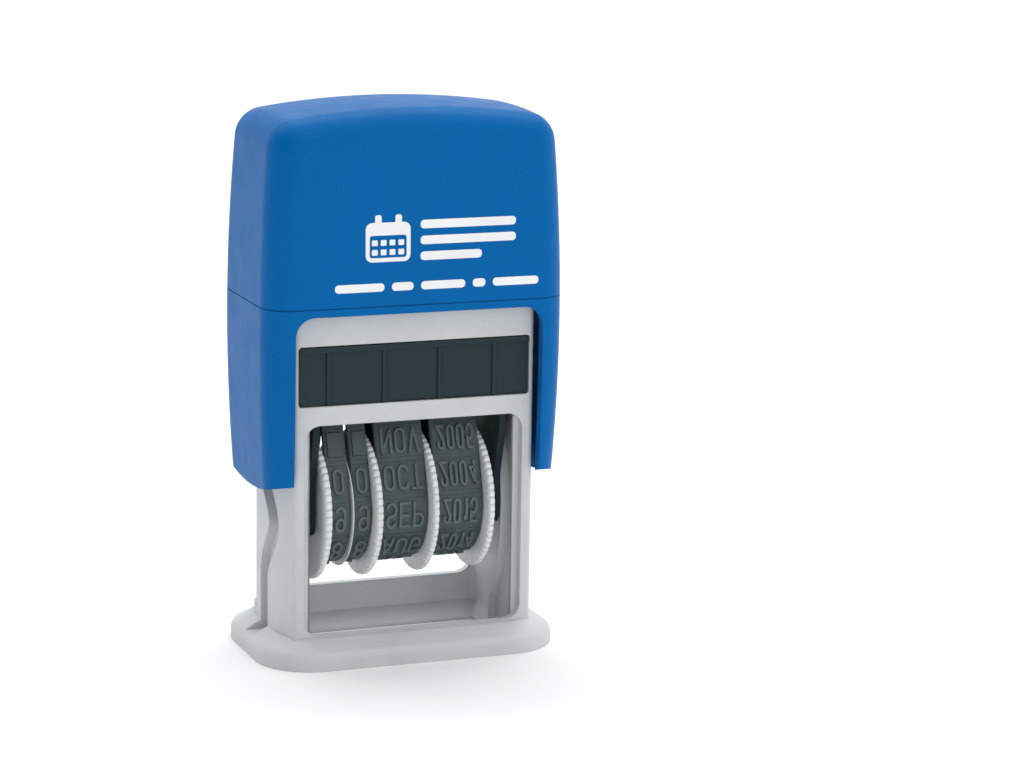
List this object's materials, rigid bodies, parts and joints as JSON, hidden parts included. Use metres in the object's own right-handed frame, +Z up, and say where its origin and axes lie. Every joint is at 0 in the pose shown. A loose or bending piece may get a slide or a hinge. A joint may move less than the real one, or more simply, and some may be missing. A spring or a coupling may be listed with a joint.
{
  "type": "self inking date stamp",
  "caption": "Self-inking date stamp: a sprung cap slides down an open frame and flips a block of four date bands from its ink pad to the paper.",
  "frame": {"origin": "under the middle of the foot, on the surface the stamp stands on", "axes": "+Z up, the cap's travel is along -Z; -Y is the front, where the date is read and the pad cartridge comes out; +X is the right hand side seen from the front, along the wheel axle"},
  "size_m": [0.042, 0.0258, 0.0745],
  "materials": {
    "frame_plastic": "light grey moulded plastic, satin",
    "cap_plastic": "blue moulded plastic, soft gloss",
    "dark_plastic": "dark grey moulded plastic",
    "tray_plastic": "dark teal grey moulded plastic",
    "ink_felt": "felt soaked in black ink",
    "spring_steel": "drawn spring wire",
    "axle_steel": "ground steel rod",
    "wheel_plastic": "light grey moulded plastic",
    "band_rubber": "dark grey moulded rubber"
  },
  "bodies": {
    "frame": {"frame": "frame_plastic", "return_spring": "spring_steel"},
    "cap": {"cap": "cap_plastic", "yoke": "dark_plastic"},
    "block": {"block_cheek_left": "dark_plastic", "block_cheek_right": "dark_plastic", "platen": "dark_plastic", "wheel_axle": "axle_steel", "band_divider": "wheel_plastic", "axle_spacer": "dark_plastic", "day_tens_band": "band_rubber", "day_units_band": "band_rubber", "month_band": "band_rubber", "year_band": "band_rubber"},
    "pad_cartridge": {"pad_tray": "tray_plastic", "ink_pad": "ink_felt"},
    "day_tens": {"day_tens_wheel": "wheel_plastic"},
    "day_units": {"day_units_wheel": "wheel_plastic"},
    "month": {"month_wheel": "wheel_plastic"},
    "year": {"year_wheel": "wheel_plastic"}
  },
  "joints": [
    {"name": "cap_press", "type": "slide", "parent": "frame", "child": "cap", "axis": [0, 0, -1], "range_m": [0, 0.017], "stiffness_N_per_m": 420, "springref_m": -0.008, "deforming": ["return_spring"]},
    {"name": "block_flip", "type": "hinge", "parent": "cap", "child": "block", "pos_m": [0, 0, 0.02665], "axis": [1, 0, 0], "range_deg": [0, 180]},
    {"name": "pad_slide", "type": "slide", "parent": "frame", "child": "pad_cartridge", "axis": [0, 1, 0], "range_m": [-0.022, 0]},
    {"name": "day_tens_turn", "type": "hinge", "parent": "block", "child": "day_tens", "pos_m": [0, 0, 0.0198], "axis": [1, 0, 0], "continuous": true},
    {"name": "day_units_turn", "type": "hinge", "parent": "block", "child": "day_units", "pos_m": [0, 0, 0.0198], "axis": [1, 0, 0], "continuous": true},
    {"name": "month_turn", "type": "hinge", "parent": "block", "child": "month", "pos_m": [0, 0, 0.0198], "axis": [1, 0, 0], "continuous": true},
    {"name": "year_turn", "type": "hinge", "parent": "block", "child": "year", "pos_m": [0, 0, 0.0198], "axis": [1, 0, 0], "continuous": true}
  ],
  "couplings": [
    {"joint": "block_flip", "follows": "cap_press", "rad_per_m": 184.8}
  ]
}
